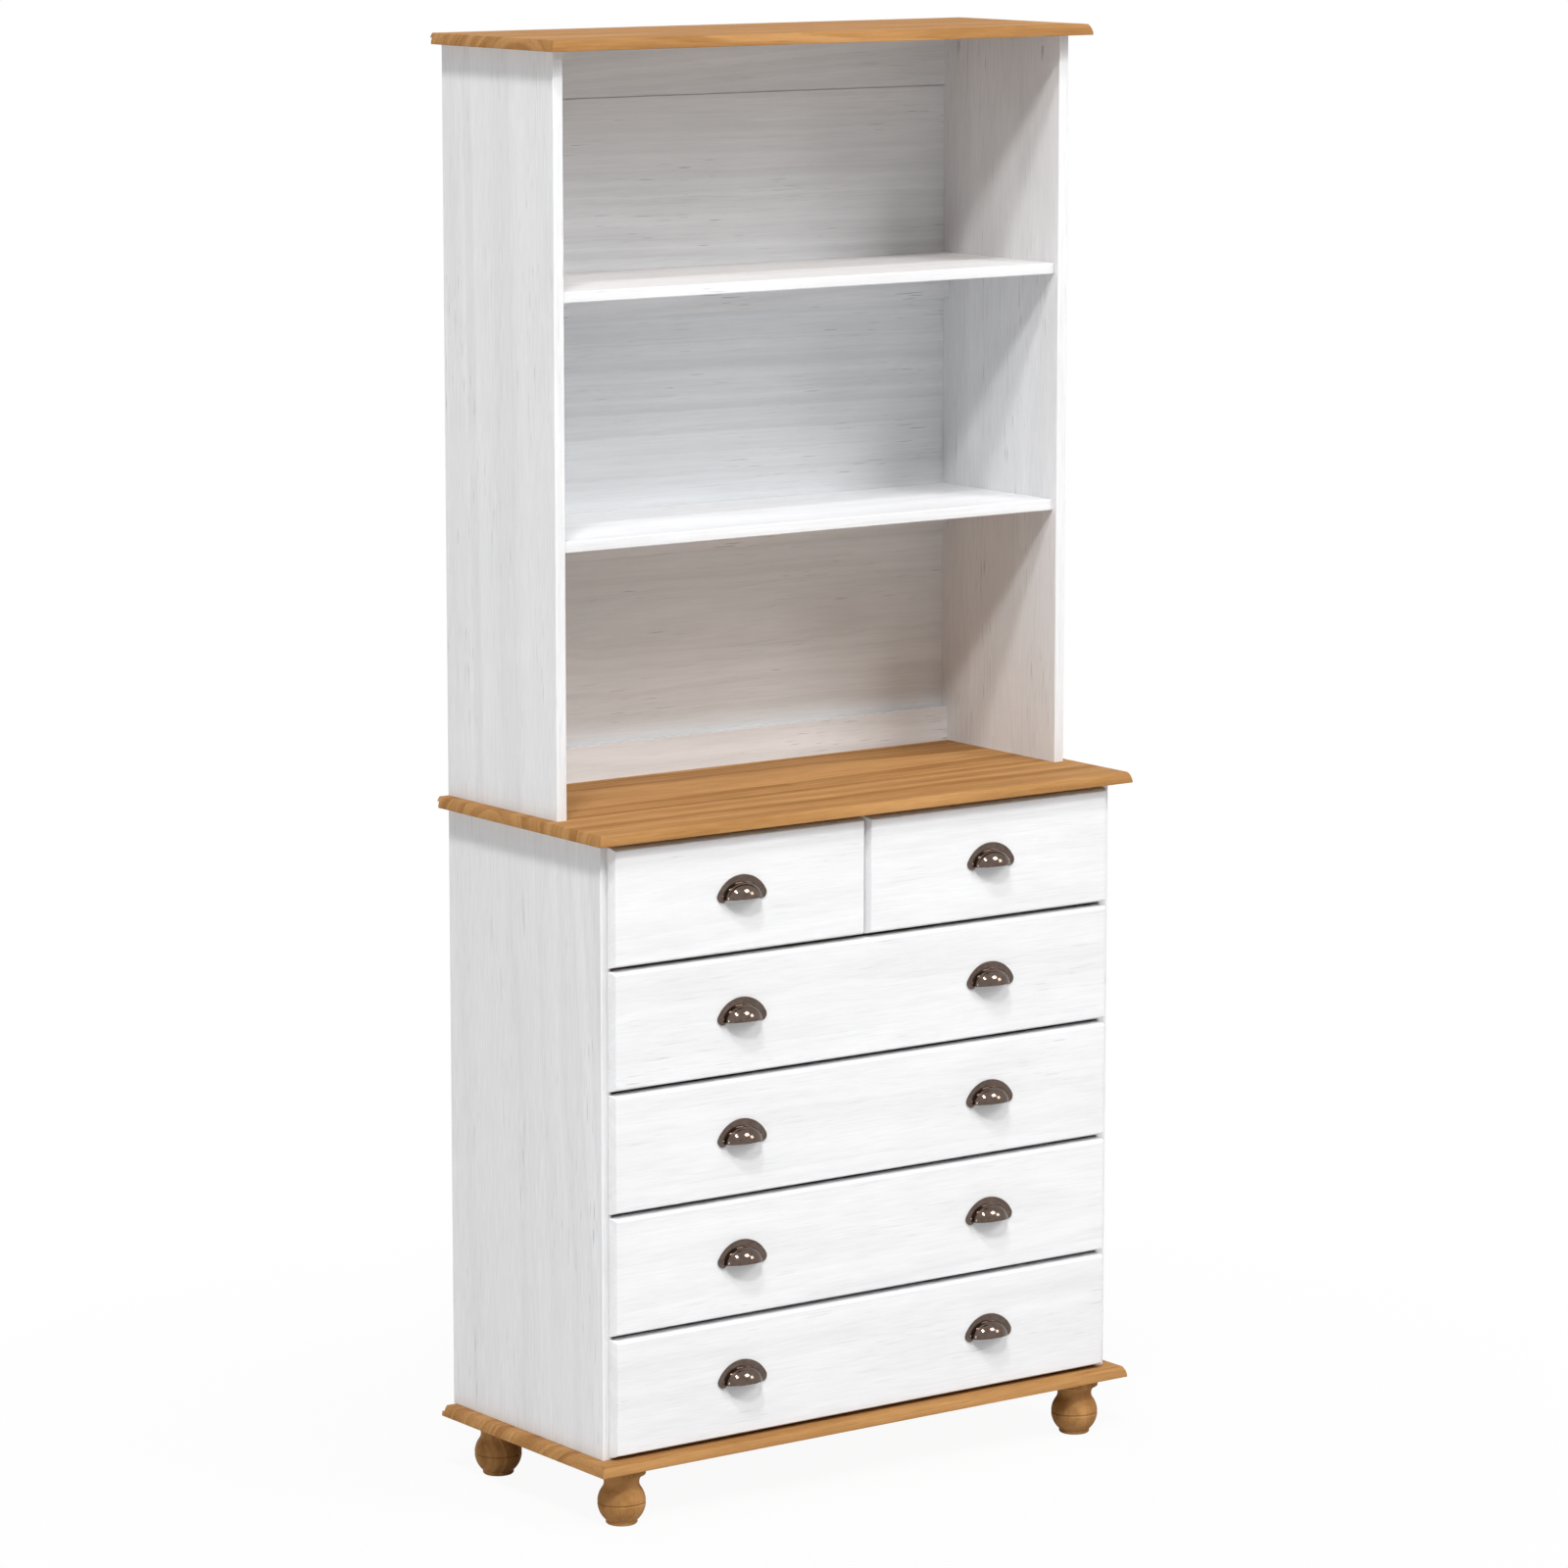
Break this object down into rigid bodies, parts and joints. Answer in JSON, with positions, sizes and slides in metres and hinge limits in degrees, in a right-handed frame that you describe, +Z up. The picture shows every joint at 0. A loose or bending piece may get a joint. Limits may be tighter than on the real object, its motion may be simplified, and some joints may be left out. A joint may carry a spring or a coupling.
{
  "type": "buffet and hutch",
  "caption": "Tall white pine buffet with lipped drawers on wooden runners and bronze cup pulls, honey worktop, turned bun feet, and an open hutch with fixed shelves.",
  "frame": {"origin": "on the floor, under the middle of the whole piece's box", "axes": "+Z up, +X to the viewer's right, drawers open towards -Y"},
  "size_m": [0.9, 0.403, 1.984],
  "materials": {
    "white_pine": "white stained pine, satin, grain showing faintly",
    "honey_pine": "honey stained pine, satin",
    "drawer_pine": "plain pine",
    "thin_panel": "thin plywood",
    "beech": "plain beech",
    "antique_bronze": "antique bronze, polished",
    "zinc_steel": "zinc plated"
  },
  "bodies": {
    "cabinet": {"base_board": "honey_pine", "bun_foot_front_left": "honey_pine", "bun_foot_front_right": "honey_pine", "bun_foot_rear_left": "honey_pine", "bun_foot_rear_right": "honey_pine", "foot_bolts": "zinc_steel", "buffet_left_side": "white_pine", "buffet_right_side": "white_pine", "buffet_back_panel": "thin_panel", "worktop": "honey_pine", "drawer_partition": "white_pine", "partition_rails": "drawer_pine", "drawer_runners": "beech", "runner_screws": "zinc_steel", "hutch_top": "honey_pine", "hutch_left_side": "white_pine", "hutch_right_side": "white_pine", "hutch_back_panel": "white_pine", "hutch_upper_shelf": "white_pine", "hutch_lower_shelf": "white_pine", "hutch_shelf_rails": "white_pine", "hutch_bottom_rail": "white_pine", "pocket_screws": "zinc_steel", "carcass_dowels": "beech"},
    "top_left_drawer": {"top_left_drawer_front": "white_pine", "top_left_drawer_sides": "drawer_pine", "top_left_drawer_back": "drawer_pine", "top_left_drawer_bottom": "thin_panel", "top_left_drawer_pulls": "antique_bronze", "top_left_drawer_pull_screws": "antique_bronze"},
    "top_right_drawer": {"top_right_drawer_front": "white_pine", "top_right_drawer_sides": "drawer_pine", "top_right_drawer_back": "drawer_pine", "top_right_drawer_bottom": "thin_panel", "top_right_drawer_pulls": "antique_bronze", "top_right_drawer_pull_screws": "antique_bronze"},
    "second_drawer": {"second_drawer_front": "white_pine", "second_drawer_sides": "drawer_pine", "second_drawer_back": "drawer_pine", "second_drawer_bottom": "thin_panel", "second_drawer_pulls": "antique_bronze", "second_drawer_pull_screws": "antique_bronze"},
    "third_drawer": {"third_drawer_front": "white_pine", "third_drawer_sides": "drawer_pine", "third_drawer_back": "drawer_pine", "third_drawer_bottom": "thin_panel", "third_drawer_pulls": "antique_bronze", "third_drawer_pull_screws": "antique_bronze"},
    "fourth_drawer": {"fourth_drawer_front": "white_pine", "fourth_drawer_sides": "drawer_pine", "fourth_drawer_back": "drawer_pine", "fourth_drawer_bottom": "thin_panel", "fourth_drawer_pulls": "antique_bronze", "fourth_drawer_pull_screws": "antique_bronze"},
    "bottom_drawer": {"bottom_drawer_front": "white_pine", "bottom_drawer_sides": "drawer_pine", "bottom_drawer_back": "drawer_pine", "bottom_drawer_bottom": "thin_panel", "bottom_drawer_pulls": "antique_bronze", "bottom_drawer_pull_screws": "antique_bronze"}
  },
  "joints": [
    {"name": "top_left_drawer_slide", "type": "slide", "parent": "cabinet", "child": "top_left_drawer", "axis": [0, -1, 0], "range_m": [0, 0.25]},
    {"name": "top_right_drawer_slide", "type": "slide", "parent": "cabinet", "child": "top_right_drawer", "axis": [0, -1, 0], "range_m": [0, 0.25]},
    {"name": "second_drawer_slide", "type": "slide", "parent": "cabinet", "child": "second_drawer", "axis": [0, -1, 0], "range_m": [0, 0.25]},
    {"name": "third_drawer_slide", "type": "slide", "parent": "cabinet", "child": "third_drawer", "axis": [0, -1, 0], "range_m": [0, 0.25]},
    {"name": "fourth_drawer_slide", "type": "slide", "parent": "cabinet", "child": "fourth_drawer", "axis": [0, -1, 0], "range_m": [0, 0.25]},
    {"name": "bottom_drawer_slide", "type": "slide", "parent": "cabinet", "child": "bottom_drawer", "axis": [0, -1, 0], "range_m": [0, 0.25]}
  ]
}
